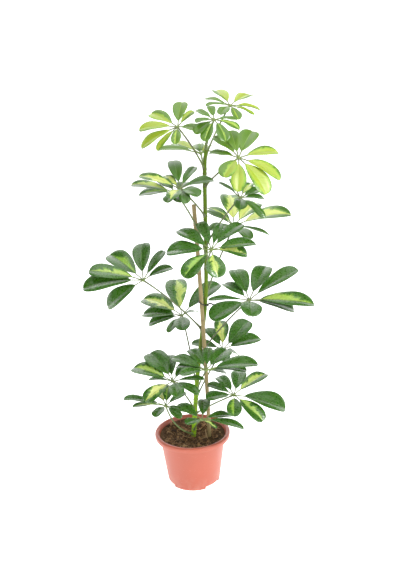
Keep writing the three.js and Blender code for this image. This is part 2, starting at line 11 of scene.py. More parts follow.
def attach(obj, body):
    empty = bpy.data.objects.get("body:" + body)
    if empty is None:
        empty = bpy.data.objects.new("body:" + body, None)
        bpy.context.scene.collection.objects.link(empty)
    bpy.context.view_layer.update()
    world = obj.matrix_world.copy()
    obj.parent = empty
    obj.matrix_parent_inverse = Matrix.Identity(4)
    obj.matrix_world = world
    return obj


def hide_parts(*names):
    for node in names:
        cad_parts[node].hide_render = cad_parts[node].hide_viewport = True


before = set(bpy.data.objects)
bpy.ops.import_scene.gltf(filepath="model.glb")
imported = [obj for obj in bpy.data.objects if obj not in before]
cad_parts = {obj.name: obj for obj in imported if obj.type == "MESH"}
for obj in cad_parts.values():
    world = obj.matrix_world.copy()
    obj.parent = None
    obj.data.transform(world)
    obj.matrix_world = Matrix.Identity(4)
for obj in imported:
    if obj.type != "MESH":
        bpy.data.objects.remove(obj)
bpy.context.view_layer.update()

# A variegated umbrella plant in a plastic nursery pot, in metres, with +Z up and -Y to the front.
# The sizes are those of the solids, except where a form is finer here or is in no solid.

UP = Vector((0, 0, 1))
FRONT = Vector((0, -1, 0))
FULL_TURN = 2 * pi
MM = 0.001

# ---- sizes of the pot ----

POT_HEIGHT = 0.134
POT_BASE_RADIUS = 0.0655
POT_SHOULDER_RADIUS = 0.082  # outside of the wall where the rim begins
POT_SHOULDER_HEIGHT = 0.121
POT_WALL = 0.002
POT_RIM_RADIUS = 0.095
POT_RIM_DROP = 0.013  # height of the skirt that hangs from the rolled rim
POT_LIP = 0.010  # width of the rolled lip
POT_COLUMNS = 168
POT_FLOOR_RINGS = (0.02, 0.04)
OUTER_LEVELS = (0.12, 0.25, 0.4, 0.55, 0.7, 0.85, 0.97)  # shares of the shoulder's height
INNER_LEVELS = (0.8, 0.5, 0.2)
RIM_TAPER = 0.001
# Rounded parts of the pot, each as steps outwards and upwards from a corner, in millimetres.
FOOT_ROUND = ((-1.6, 0), (-0.6, 0.3), (0, 1.4))
RIM_UNDERSIDE = ((2, -4), (4, -2))
SKIRT_INSIDE = ((-1.4, 1.5), (-1, 0.2), (0, 0))
SKIRT_OUTSIDE = ((-1.4, 0.2), (-0.9, 1.2), (-0.5, 4.5))
RIM_ROUND = ((0, -6), (-0.1, -4.2), (-0.7, -2.4), (-1.8, -1), (-3.4, -0.2))
LIP_ROUND = ((2.6, -0.3), (1.2, -1.2), (0.1, -2.8), (-0.5, -4.8))
LIP_INSIDE = ((2.2, 3.6), (0, 0))

# Raised pockets for drain holes round the foot, with angles in degrees.
POCKET_ANGLES = (-41, 79, 199)
POCKET_SPREAD = 46
POCKET_EDGE = 0.15  # half the width of the slope at a pocket's side
POCKET_HEIGHT = 0.0065
POCKET_INNER_RADIUS = 0.055
POCKET_BEVEL = 0.0006
POCKET_SEAM = 0.001

# ---- sizes of the soil and what lies on it ----

SOIL_HEIGHT = 0.119
SOIL_LUMP = 0.0015
SOIL_WAVES = ((0.11, 2, 0), (-0.07, 3, 0), (0, 5, 90))  # radians per mm, turns round the pot, phase
SOIL_RISE = 0.007  # how much higher the soil lies at the pot's wall
SOIL_LEVEL_RADIUS = 0.035  # from here outwards it rises
SOIL_EDGE = 0.0818
SOIL_GAP = 0.0004
SOIL_SIDES = 144
SOIL_RINGS = 45
CRUMB_SCALE = 75
CRUMB_HEIGHT = 0.0034
CRUMB_OCTAVES = (0.9, 2.1, 5)  # how fast they fade, how much finer each is, and how many

CHIPS = 620
CHIP_REACH = 0.0765  # how far from the middle they lie
BIG_CHIP_SHARE = 0.22
BIG_CHIP_LENGTHS = (0.003, 0.0062)
SMALL_CHIP_LENGTHS = (0.001, 0.0028)

FIBRES = 130
FIBRE_REACH = 0.070
FIBRE_LIMIT = 0.077
FIBRE_LENGTHS = (0.008, 0.024)
FIBRE_STEPS = 6

# Withered stalks on the soil, in millimetres: start, middle and end, and the radius at both ends.
DRY_STALKS = [
    ((1, -9, 118.5), (-18, -14, 120), (-33, -15, 138), 1.1, 0.6),
    ((16, -17, 120.5), (27, -21, 122), (37, -18, 123), 0.8, 1.4),
    ((37, -17, 119), (34, -18, 132), (33, -14, 143), 2.6, 0.8),
]
DRY_STALK_STEPS = 14

# ---- sizes of the stem, the cane and the tie ----

# Centre line of the stem and its radius, in millimetres: x, y, z, radius.
STEM_LINE = [
    (2, -2, 60, 6), (2, -2, 115, 6), (10, 0, 205, 5.7), (18, 1, 285, 5.4), (29, 0, 370, 5.2),
    (36, -1, 417, 5.1), (41, -3, 451, 5), (45, -4, 495, 4.9), (47, -2, 531, 4.8), (49, 0, 617, 4.6),
    (50, 1, 700, 4.6), (51, 1, 759, 4.5), (52, 1, 805, 4.3), (57, 0, 852, 3.4),
]
STEM_LINE = [tuple(value * MM for value in point) for point in STEM_LINE]
STEM_STEPS = 330
STEM_SIDES = 20
STEM_EASE = 0.012  # the bends of the centre line are eased over this much to either side
STEM_KNOT = 0.0006
KNOT_REACH = 0.0035
MOST_SWELL = 1.3
SCAR_REACH = 0.0012
SCAR_RISE = 0.00035
OLD_SCARS = [z * MM for z in (142, 160, 212, 270, 300, 320, 375, 445, 520, 600, 645, 705, 735)]
BUD_LEAN = 0.0015
BUD_HEIGHT = 0.014
BUD_RINGS = ((0.93, 0.003), (0.72, 0.007), (0.42, 0.011), (0.12, BUD_HEIGHT))  # width share, height
LENTICELS = 46

CANE_FOOT = Vector((0.044, -0.009, 0.020))
CANE_TOP = Vector((0.024, -0.014, 0.717))
CANE_BOW = 0.0035  # how far the middle stands to the right of the straight line
CANE_RADIUS = 0.0048
CANE_STEPS = 420
CANE_SIDES = 24
CANE_JOINT_EVERY = 0.118
# A joint's ridges and groove: how far below it each lies, its reach, and a ridge's share of the height.
CANE_RIDGES = ((0, 0.0016, 1), (0.0042, 0.0012, 0.8))
CANE_RIDGE_HEIGHT = 0.0005
CANE_GROOVE = (0.0022, 0.0009)
CANE_GROOVE_DEPTH = 0.00025
CANE_END = ((0.96, 0.0), (0.55, -0.0001), (0.5, 0.004))  # the hollow end: width share, depth

TIE_HEIGHT = 0.475
TIE_WIRE = 0.0012
TIE_SLACK = 0.0012
TIE_LEAN = 0.6  # how far the loop drops for each metre to the right
TIE_ARC_STEP = 10  # degrees
TIE_SIDES = 8
TIE_ELBOW = Vector((0.011, -0.003, 0.006))  # where the twisted tail bends, from its root
TIE_TIP = Vector((0.011, -0.001, -0.005))  # where it ends, from that bend
TIE_TAIL_STEPS = 56
TIE_TAIL_TURNS = 4
TIE_TAIL_WIRE = 0.92  # shares of the wire's radius: its radius in the tail, and that of its turns
TIE_TAIL_WINDING = 0.85
TIE_ENDS = Vector((0.004, -0.001, 0))
TIE_ENDS_SPREAD = 0.002
TIE_ENDS_STEPS = 6

# ---- sizes of the leaves ----

LEAFLET_THICKNESS = 0.0009
STALK_SHARE = 0.2  # of a leaflet's length
LEAFLET_DROOP = 0.12
WIDTH_TO_LENGTH = 0.41
BLADE_LEVEL = 0.45  # how far each blade turns from the leaf's own facing towards facing up
LEAFLET_ARCH = 0.06
LEAFLET_FOLD = 0.32
TIP_DROOP = 0.015  # of the length
TIP_DROOP_FROM = 0.72
NARROWEST_HALF = 0.0011
BOW = (0.06, 0)  # of a leaf's stalk, upwards and sideways, as shares of its length

# Places along and across a blade where it has points, closer together at its ends and edges.
BLADE_ROWS = (
    0.0, 0.02, 0.05, 0.1, 0.16, 0.23, 0.31, 0.4, 0.49, 0.58, 0.67, 0.75, 0.82, 0.88, 0.925, 0.958, 0.98,
    0.992, 1.0,
)
BLADE_COLUMNS = (-1, -0.8, -0.55, -0.28, -0.07, 0.07, 0.28, 0.55, 0.8, 1)

SHORT_STALK_RADII = (0.0017, 0.0015, 0.0014, 0.0013, 0.0014, 0.0014, 0.0005)
SHORT_STALK_INTO_BLADE = 0.05
RIDGE_ROWS = (0.02, 0.12, 0.25, 0.4, 0.55, 0.7, 0.82)  # of the ridge under the midrib

STALK_RADIUS = 0.0019
STALK_STEPS = 26
KNUCKLE_RADIUS = 0.0036
KNUCKLE_RINGS = 9

# Each leaf is laid out as it looks from this place, with the view rolled a little, by these rules.
VIEW_EYE = Vector((0.032, -1.750, 1.071))
VIEW_ROLL = 2
OUTWARD_LEAN = 0.4
REACH_SHARES = (0.75, 1.15)  # least and most, of a leaf's usual reach
BEND_STEP = 0.006
BEND_STEPS = 12

# ---- floor, lights and camera ----

FLOOR_SIDES = 64
# The floor turns up into a wall a long way off, so that it has no horizon: radius and height.
FLOOR_PROFILE = ((1, 0), (11, 0), (12, 0.4), (12.5, 6.5))
FLOOR_GLOW = 0.92

WORLD_STRENGTH = 0.12
LIGHT_AIM = Vector((0.03, 0, 0.5))
LIGHTS = [  # name, place, size, power
    ("key", (1.8, -1.2, 2.0), 0.8, 44),
    ("top", (0.1, -0.4, 2.9), 3.0, 42),
    ("back", (-0.4, 2.2, 2.6), 2.4, 30),
]

CAMERA_PITCH = 17.5
FOCAL_PIXELS = 770
PICTURE_HEIGHT = 570
SENSOR_WIDTH = 36
FARTHEST = 50

# ---- places of the leaves ----

# Each leaf in millimetres: name, hub, height where its stalk leaves the stem, tilt of the way it faces,
# usual reach, how young and how purple-stalked it is, and its leaflets. Each of these is the place of its
# tip as seen from the eye, and the share of the blade that is cream: (right, above, cream[, width factor]).
# A bow of its own takes a stalk past the cane, or lets it sag.
Leaf = namedtuple("Leaf", "name hub node tilt reach young purple tips bow", defaults=[BOW])
LEAVES = [
    Leaf("top_left", (-5, -35, 895), 795, 45, 75, 1, 0.9, [
        (-60, 30, 0.6), (-85, -5, 0.9), (-80, -45, 1), (-45, -50, 0.8, 0.7), (-5, -35, 0.3),
        (10, 55, 0, 1.1), (35, 35, 0.5, 0.8), (45, -5, 0, 1.1),
    ]),
    Leaf("top_front", (75, -55, 910), 840, 40, 62, 0.6, 0.5, [
        (-40, 20, 0), (-10, 30, 0), (-40, -5, 0), (-40, -30, 0, 1.2), (-20, -45, 0.3, 1.1),
        (25, -45, 0.3, 1.1), (55, -20, 0.5), (50, 0, 0.3, 0.8),
    ]),
    Leaf("top_right", (115, 55, 930), 820, 25, 75, 0.9, 0.5, [
        (-35, 35, 0.7), (50, 25, 0.8), (70, -10, 0.7), (55, -20, 0.6, 0.8), (-60, 15, 0, 0.8),
        (-55, 0, 0, 0.8), (-20, -20, 0, 1.2), (20, -30, 0.3),
    ]),
    Leaf("top_back", (45, 70, 820), 785, 25, 80, 0.75, 0.2, [
        (-100, 10, 0, 0.7), (-70, 25, 0.8, 0.8), (-20, 20, 0), (0, 25, 0, 0.8), (20, 20, 0.8), (25, 5, 0),
    ]),
    Leaf("upper_left_front", (-5, -75, 765), 685, 35, 85, 0.15, 0.6, [
        (-15, 65, 0, 0.8), (35, 50, 0, 0.7), (75, 20, 0), (40, -15, 0, 1.2), (15, -30, 0, 0.9),
        (-35, 30, 0.9, 0.8), (-90, 30, 0.9, 0.8), (-20, -20, 0.8, 1.2),
    ]),
    Leaf("upper_left_back", (-15, -40, 750), 585, 30, 90, 0.1, 0.3, [
        (-100, 20, 0.7, 0.8), (-85, -5, 0.4, 1.2), (-20, -20, 0.3), (25, 25, 0), (-35, 30, 0),
        (10, -20, 0), (60, 5, 0),
    ], (0.06, 0.15)),
    Leaf("upper_right_front", (125, -85, 830), 755, 45, 95, 0.9, 0.8, [
        (-65, 10, 0, 0.8), (-55, 45, 0, 0.9), (-20, 60, 0), (30, 60, 0, 1.1), (85, 15, 0.8, 0.9),
        (90, -45, 0.9), (60, -75, 0.9, 1.1), (0, -70, 0.9), (-30, -40, 0.6, 1.3),
    ]),
    Leaf("upper_right_inner", (130, -20, 730), 615, 35, 78, 0.1, 0.7, [
        (-50, 35, 0, 0.4), (-25, 45, 0, 0.5), (25, 35, 0.7, 0.8), (50, 20, 0), (55, 0, 0),
        (0, -25, 0, 1.3), (55, -45, 0, 0.9),
    ]),
    Leaf("upper_right_back", (120, 65, 645), 490, 30, 115, 0.15, 0.4, [
        (-65, 45, 0.7, 0.8), (-15, 80, 0.9), (55, 60, 0.9, 0.9), (135, 30, 1, 1.1), (85, -20, 0, 0.5),
        (35, -30, 0), (-70, 35, 0, 0.8), (-55, -10, 0),
    ]),
    Leaf("middle_front", (60, -95, 630), 560, 40, 95, 0, 0.3, [
        (-25, 65, 0, 0.75), (20, 60, 0, 0.65), (70, 60, 0, 0.75), (100, 15, 0.3), (80, -10, 0.8, 1.2),
        (15, -60, 0.7, 1.5), (-60, -60, 0.5, 1.2), (-100, -5, 0, 1.3), (-75, 45, 0),
    ]),
    Leaf("middle_left_front", (-100, -30, 545), 405, 45, 110, 0, 0.6, [
        (0, 90, 0), (-80, 65, 0.4), (-125, 25, 0.6, 0.9), (-140, -15, 0, 1.1), (-85, -60, 0, 1.3),
        (50, 70, 0, 0.7), (70, 30, 0, 0.9),
    ]),
    Leaf("middle_left_back", (-15, 65, 420), 250, 35, 110, 0, 0.8, [
        (-15, 95, 0.7, 1.1), (-100, 45, 0.8, 1.1), (-100, 5, 0, 1.2), (-85, -20, 0, 1.1),
        (0, -35, 0, 1.2), (-35, -40, 0, 0.6), (95, 80, 0), (40, 10, 0, 0.5),
    ]),
    Leaf("lower_left", (-40, -85, 310), 190, 25, 95, 0, 0.15, [
        (-55, 70, 0, 1.25), (-95, 35, 0.6, 1.15), (-60, 5, 0, 0.5), (-5, 65, 0, 0.8), (40, 40, 0),
        (75, 5, 0, 0.6), (60, -30, 0, 0.9), (10, -35, 0, 1.2), (-65, -45, 1, 1.3),
    ]),
    Leaf("lower_front", (40, -95, 340), 235, 25, 90, 0, 0.15, [
        (-40, 50, 0), (5, 55, 0, 0.8), (-80, 30, 0), (-70, 10, 0), (50, 50, 0, 1.2), (120, 15, 0),
        (95, 0, 0, 0.8), (-60, -10, 0), (50, -10, 0),
    ]),
    Leaf("lower_right_back", (85, 65, 325), 220, 35, 90, 0, 0.15, [
        (-45, 55, 0), (-10, 75, 1), (65, 75, 0, 1.2), (95, 30, 0, 1.1), (-80, 15, 0), (40, -15, 0),
        (-50, -25, 0), (5, -30, 0),
    ]),
    Leaf("middle_right", (145, -55, 495), 340, 30, 115, 0, 0.8, [
        (-35, 75, 0), (40, 85, 0, 0.85), (110, 75, 0, 0.8), (150, -5, 0.6), (105, -20, 0, 1.4),
        (5, -35, 0, 1.4), (-60, 40, 0), (-95, 0, 0, 0.5), (-85, -45, 0, 1.25),
    ], (0.06, 0.1)),
    Leaf("lower_right", (105, -45, 250), 180, 20, 100, 0, 0.15, [
        (-40, 45, 0), (15, 60, 0), (80, 55, 0.7, 0.85), (125, -30, 0, 1.25), (70, -60, 0.6, 1.1),
        (0, -50, 0.5, 1.2), (-65, 25, 0), (-65, -10, 0, 1.2),
    ], (0.06, -0.12)),
    Leaf("base_left", (-60, -80, 245), 125, 15, 75, 0, 0.15, [
        (-20, 50, 0.9), (10, 50, 0.5), (50, 30, 0), (-100, 20, 0, 0.6), (-80, 0, 0.7, 0.6),
        (-25, -25, 0, 1.2), (50, -15, 0, 0.8), (35, -30, 0),
    ], (-0.2, 0)),
    Leaf("base_front", (25, -100, 215), 136, 15, 65, 0, 0.15, [
        (-60, 35, 0, 1.1), (5, 50, 0), (-35, -10, 0, 1.5), (70, 10, 0), (100, -20, 0, 0.7),
        (35, -20, 0.9, 0.5),
    ]),
]


def in_metres(leaf):
    tips = [(right * MM, above * MM, *rest) for right, above, *rest in leaf.tips]
    hub = Vector(leaf.hub) * MM
    return leaf._replace(hub=hub, node=leaf.node * MM, reach=leaf.reach * MM, tips=tips)


LEAVES = [in_metres(leaf) for leaf in LEAVES]

# ---- materials ----

# Colours, as linear red, green and blue. Where there are two, the surface varies between them.
LEAF_GREENS = ((0.015, 0.08, 0.001), (0.038, 0.128, 0.003))
LEAF_MOTTLE = (0.06, 0.165, 0.008)
YOUNG_GREENS = ((0.055, 0.15, 0.001), (0.12, 0.23, 0.002))
PATCH_RIM = (0.12, 0.26, 0.02)
YOUNG_PATCH_RIM = (0.22, 0.37, 0.018)
LIME = (0.23, 0.4, 0.045)
CREAM = (0.56, 0.6, 0.17)
YOUNG_CREAM = (0.28, 0.37, 0.016)
RIB_GREEN = (0.12, 0.23, 0.05)
YOUNG_RIB_GREEN = (0.38, 0.54, 0.09)
VEIN_GREEN = (0.2, 0.33, 0.08)
UNDERSIDE = (0.115, 0.205, 0.085)
YOUNG_UNDERSIDE = (0.26, 0.4, 0.06)
STALK_GREEN = (0.085, 0.135, 0.03)
YOUNG_STALK_GREEN = (0.17, 0.25, 0.05)
STALK_PURPLES = ((0.038, 0.03, 0.028), (0.075, 0.064, 0.052))
STALK_STREAK = (0.22, 0.26, 0.1)
UPPER_STEM = ((0.06, 0.125, 0.002), (0.115, 0.195, 0.004))
LOWER_STEM = ((0.18, 0.37, 0.006), (0.29, 0.5, 0.014))
STEM_WOOD = ((0.085, 0.085, 0.03), (0.17, 0.165, 0.07))
STEM_SCAR = (0.12, 0.11, 0.05)
STEM_SPOT = (0.28, 0.28, 0.14)
BAMBOO = ((0.205, 0.155, 0.068), (0.345, 0.272, 0.13))
BAMBOO_STAIN = (0.19, 0.145, 0.065)
BAMBOO_JOINT_AND_HOLLOW_SHADE = (0.15, 0.1, 0.05)
TERRACOTTA = ((0.355, 0.066, 0.032), (0.4, 0.082, 0.043))
POT_GRAIN = (0.72, 0.3, 0.22)
POT_DUST = (0.45, 0.3, 0.22)
POT_SCUFF = (0.8, 0.48, 0.4)
PEAT = ((0.032, 0.016, 0.008), (0.17, 0.092, 0.045))
DRY_PEAT = (0.23, 0.13, 0.064)
BARK = ((0.045, 0.022, 0.012), (0.5, 0.28, 0.13))
PALE_CHIP = (0.43, 0.3, 0.16)
BARK_GRAIN = (0.05, 0.032, 0.02)
WIRE_COATING = ((0.006, 0.006, 0.006), (0.018, 0.017, 0.016))
PAPER = ((0.92, 0.92, 0.92), (0.95, 0.95, 0.95))
WHITE = (1, 1, 1, 1)

# On each half of a blade: side veins, how far forwards they run, and steps in the patch's edge.
SIDE_VEINS = 12.0
VEIN_SLANT = 0.16
PATCH_STEPS = 13.0


class Look:
    """A procedural material, built node by node."""

    def __init__(self, name, roughness=0.5, specular=0.5):
        self.material = bpy.data.materials.new(name)
        self.material.use_nodes = True
        self.tree = self.material.node_tree
        self.shader = self.tree.nodes["Principled BSDF"]
        self.set("Roughness", roughness)
        self.set("Specular IOR Level", specular)

    def put(self, target, value):
        if isinstance(value, bpy.types.NodeSocket):
            self.tree.links.new(value, target)
        elif target.type == "RGBA" and len(value) == 3:
            target.default_value = (*value, 1)
        else:
            target.default_value = value

    def set(self, socket, value):
        self.put(self.shader.inputs[socket], value)

    def node(self, kind, inputs=(), **settings):
        made = self.tree.nodes.new("ShaderNode" + kind)
        for key, value in settings.items():
            setattr(made, key, value)
        for key, value in dict(inputs).items():
            self.put(made.inputs[key], value)
        return made

    def math(self, operation, *values):
        return self.node("Math", dict(enumerate(values)), operation=operation).outputs[0]

    def plus(self, first, second):
        return self.math("ADD", first, second)

    def minus(self, first, second):
        return self.math("SUBTRACT", first, second)

    def times(self, first, second):
        return self.math("MULTIPLY", first, second)

    def scaled(self, value, factor, offset):
        """value * factor + offset"""
        return self.math("MULTIPLY_ADD", value, factor, offset)

    def mix(self, factor, first, second):
        return self.node("Mix", {0: factor, 6: first, 7: second}, data_type="RGBA").outputs[2]

    def smooth(self, value, low, high):
        """0 at low or beyond it, 1 at high or beyond it, and smooth between."""
        inputs = {"Value": value, "From Min": low, "From Max": high}
        return self.node("MapRange", inputs, interpolation_type="SMOOTHSTEP").outputs[0]

    def place(self, scale=(1, 1, 1)):
        """The place on the object, in metres times scale."""
        inputs = {"Vector": self.node("TexCoord").outputs["Object"], "Scale": scale}
        return self.node("Mapping", inputs).outputs[0]

    def height(self):
        return self.node("SeparateXYZ", {0: self.place()}).outputs[2]

    def noise(self, vector, scale, detail=4, roughness=0.55):
        inputs = {"Vector": vector, "Scale": scale, "Detail": detail, "Roughness": roughness}
        return self.node("TexNoise", inputs).outputs["Fac"]

    def attribute(self, name):
        return self.node("Attribute", attribute_name=name).outputs["Fac"]

    def bump(self, height, distance, strength):
        inputs = {"Height": height, "Distance": distance, "Strength": strength}
        self.set("Normal", self.node("Bump", inputs).outputs[0])


def patch_cover(look, v, across, half, along):
    """Where a blade is cream, and where the paler green round that patch is."""
    seed, cream, young = (look.attribute(name) for name in ("seed", "cream", "young"))
    # The patch is widest in the blade's lower half, steps in and out between the side veins, and is
    # often on one side of the midrib. On a young blade it leaves only a thin green margin.
    # The seed, times a large number, takes each blade to its own part of the noise.
    step = look.math("FLOOR", look.times(look.plus(along, seed), PATCH_STEPS))
    cell = look.node("CombineXYZ", {0: step, 1: half, 2: look.times(seed, 91.0)}).outputs[0]
    jagged = look.node("TexWhiteNoise", {"Vector": cell}, noise_dimensions="3D").outputs["Value"]
    drift = look.node("CombineXYZ", {
        0: look.times(v, 2.2),
        1: look.scaled(half, 3.0, look.times(seed, 57.0)),
        2: look.times(seed, 23.0),
    }).outputs[0]
    wander = look.noise(drift, 1.0, detail=1)
    ragged = look.scaled(jagged, 0.35, look.scaled(wander, 1.4, -0.38))
    filled = look.scaled(jagged, 0.12, 0.8)
    inputs = {0: look.times(young, 0.8), 2: ragged, 3: filled}
    spread = look.node("Mix", inputs, data_type="FLOAT").outputs[0]
    taper = look.times(look.smooth(v, 0.35, 1.0), look.scaled(young, -0.65, 1.0))
    reach = look.times(look.smooth(cream, 0.1, 1.0), look.minus(1.15, taper))
    sided = look.times(look.attribute("bias"), look.scaled(half, 2.0, -1.0))
    width = look.times(look.times(reach, look.plus(sided, 1.0)), spread)
    patch = look.smooth(look.minus(width, across), -0.015, 0.025)
    wider = look.scaled(jagged, 0.16, look.times(width, 1.25))
    edge = look.smooth(look.minus(wider, across), -0.02, 0.03)
    return patch, look.times(edge, look.smooth(width, 0.03, 0.12))


def blade_look():
    look = Look("leaf_blade", specular=0.8)
    u, v, _ = look.node("SeparateXYZ", {0: look.node("UVMap", uv_map="blade").outputs[0]}).outputs
    cream, young, under = (look.attribute(name) for name in ("cream", "young", "under"))
    across = look.math("ABSOLUTE", look.scaled(u, 2.0, -1.0))
    half = look.math("GREATER_THAN", u, 0.5)
    # Side veins leave the midrib and run outwards and forwards, so this is constant along a vein.
    along = look.scaled(across, -VEIN_SLANT, v)
    patch, halo = patch_cover(look, v, across, half, along)

    mottle = look.noise(look.place(), 170.0, detail=3)
    shade = look.noise(look.place(), 22.0, detail=2)
    green = look.mix(look.times(mottle, 0.25), look.mix(shade, *LEAF_GREENS), LEAF_MOTTLE)
    body = look.mix(young, green, look.mix(shade, *YOUNG_GREENS))
    pale = look.mix(look.smooth(cream, 0.45, 0.85), LIME, CREAM)
    pale = look.mix(young, pale, YOUNG_CREAM)
    colour = look.mix(halo, body, look.mix(young, PATCH_RIM, YOUNG_PATCH_RIM))
    colour = look.mix(patch, colour, pale)

    rib = look.minus(1.0, look.smooth(across, 0.012, 0.05))
    colour = look.mix(look.times(rib, 0.45), colour, look.mix(young, RIB_GREEN, YOUNG_RIB_GREEN))
    wave = look.math("PINGPONG", look.times(along, SIDE_VEINS), 0.5)
    line = look.minus(1.0, look.smooth(wave, 0.0, 0.07))
    vein = look.times(line, look.smooth(across, 0.98, 0.5))
    colour = look.mix(look.times(vein, 0.10), colour, VEIN_GREEN)
    colour = look.mix(look.times(under, 0.62), colour, look.mix(young, UNDERSIDE, YOUNG_UNDERSIDE))
    look.set("Base Color", colour)

    matt = look.scaled(young, 0.14, look.scaled(under, 0.2, 0.22))
    look.set("Roughness", look.scaled(mottle, 0.12, matt))
    puffed = look.times(look.smooth(wave, 0.0, 0.5), look.smooth(across, 1.0, 0.75))
    sunken = look.scaled(rib, -1.2, look.times(mottle, 0.2))
    look.bump(look.scaled(puffed, 0.4, sunken), 0.0004, 0.7)
    look.set("Subsurface Weight", 0.2)
    look.set("Subsurface Radius", (0.4, 1.0, 0.15))
    look.set("Subsurface Scale", 0.002)
    return look.material


def stalk_look():
    look = Look("leaf_stalk", roughness=0.45)
    streak = look.noise(look.place((1, 1, 0.2)), 600.0, detail=2)
    patchy = look.noise(look.place(), 60.0)
    green = look.mix(look.attribute("young"), STALK_GREEN, YOUNG_STALK_GREEN)
    purple = look.times(look.attribute("purple"), look.smooth(patchy, 0.25, 0.6))
    colour = look.mix(purple, green, look.mix(patchy, *STALK_PURPLES))
    look.set("Base Color", look.mix(look.times(streak, 0.3), colour, STALK_STREAK))
    look.bump(streak, 0.0002, 0.6)
    return look.material


def stem_look():
    look = Look("stem_bark", roughness=0.55, specular=0.2)
    streak = look.noise(look.place((1, 1, 0.12)), 420.0, detail=4)
    patchy = look.noise(look.place((1, 1, 0.5)), 55.0, detail=3)
    low_down = look.smooth(look.height(), 0.42, 0.13)
    colour = look.mix(low_down, look.mix(streak, *UPPER_STEM), look.mix(streak, *LOWER_STEM))
    woody = look.times(look.smooth(patchy, 0.5, 0.75), 0.6)
    colour = look.mix(woody, colour, look.mix(streak, *STEM_WOOD))
    colour = look.mix(look.times(look.attribute("knot"), 0.75), colour, STEM_SCAR)
    spots = look.smooth(look.noise(look.place((1, 1, 0.6)), 900.0, detail=1), 0.66, 0.74)
    look.set("Base Color", look.mix(look.times(spots, 0.5), colour, STEM_SPOT))
    look.bump(look.plus(streak, look.times(spots, 0.8)), 0.0004, 0.8)
    return look.material


def cane_look():
    look = Look("bamboo", roughness=0.5, specular=0.25)
    fibre = look.noise(look.place((1, 1, 0.03)), 900.0, detail=4)
    patchy = look.noise(look.place((1, 1, 0.25)), 45.0, detail=3)
    colour = look.mix(look.smooth(patchy, 0.45, 0.75), look.mix(fibre, *BAMBOO), BAMBOO_STAIN)
    # The joint colour darkens the joints, and also paints shade down inside the hollow at the top end.
    look.set("Base Color", look.mix(look.times(look.attribute("knot"), 0.8), colour, BAMBOO_JOINT_AND_HOLLOW_SHADE))
    look.bump(fibre, 0.0002, 0.6)
    return look.material


def pot_look():
    look = Look("pot_plastic", specular=0.45)
    cloud = look.noise(look.place(), 14.0, detail=3)
    grain = look.noise(look.place(), 900.0, detail=2)
    colour = look.mix(look.times(grain, 0.12), look.mix(cloud, *TERRACOTTA), POT_GRAIN)
    dusty = look.smooth(look.noise(look.place(), 60.0), 0.4, 0.7)
    dust = look.times(look.smooth(look.height(), 0.05, 0.0), dusty)
    colour = look.mix(look.times(dust, 0.2), colour, POT_DUST)
    scuff = look.smooth(look.noise(look.place((1, 1, 6)), 90.0, detail=2), 0.68, 0.74)
    look.set("Base Color", look.mix(look.times(scuff, 0.15), colour, POT_SCUFF))
    look.set("Roughness", look.scaled(cloud, 0.12, look.scaled(grain, 0.1, 0.30)))
    look.bump(look.scaled(cloud, 2.0, grain), 0.0001, 0.5)
    look.set("Coat Weight", 0.2)
    look.set("Coat Roughness", 0.2)
    look.set("Subsurface Weight", 0.08)
    look.set("Subsurface Radius", (1.0, 0.35, 0.2))
    look.set("Subsurface Scale", 0.004)
    return look.material


def soil_look():
    look = Look("peat_compost", roughness=0.95, specular=0.2)
    crumb = look.noise(look.place(), 260.0, detail=6, roughness=0.7)
    patchy = look.noise(look.place(), 45.0, detail=3)
    look.set("Base Color", look.mix(look.smooth(patchy, 0.5, 0.8), look.mix(crumb, *PEAT), DRY_PEAT))
    look.bump(crumb, 0.003, 1.0)
    return look.material


def litter_look():
    look = Look("bark_litter", roughness=0.85, specular=0.25)
    tone = look.attribute("seed")
    grain = look.noise(look.place(), 700.0, detail=3)
    colour = look.mix(look.smooth(tone, 0.86, 0.97), look.mix(tone, *BARK), PALE_CHIP)
    look.set("Base Color", look.mix(look.times(grain, 0.4), colour, BARK_GRAIN))
    look.bump(grain, 0.0005, 0.8)
    return look.material


def wire_look():
    look = Look("coated_wire", roughness=0.45)
    grime = look.noise(look.place(), 500.0)
    look.set("Base Color", look.mix(grime, *WIRE_COATING))
    look.set("Roughness", look.scaled(grime, 0.25, 0.32))
    return look.material


def floor_look():
    look = Look("floor_paper", roughness=0.9, specular=0.1)
    look.set("Base Color", look.mix(look.noise(look.place(), 3.0, detail=1), *PAPER))
    look.set("Emission Color", WHITE)
    look.set("Emission Strength", FLOOR_GLOW)
    return look.material


# ---- meshes ----


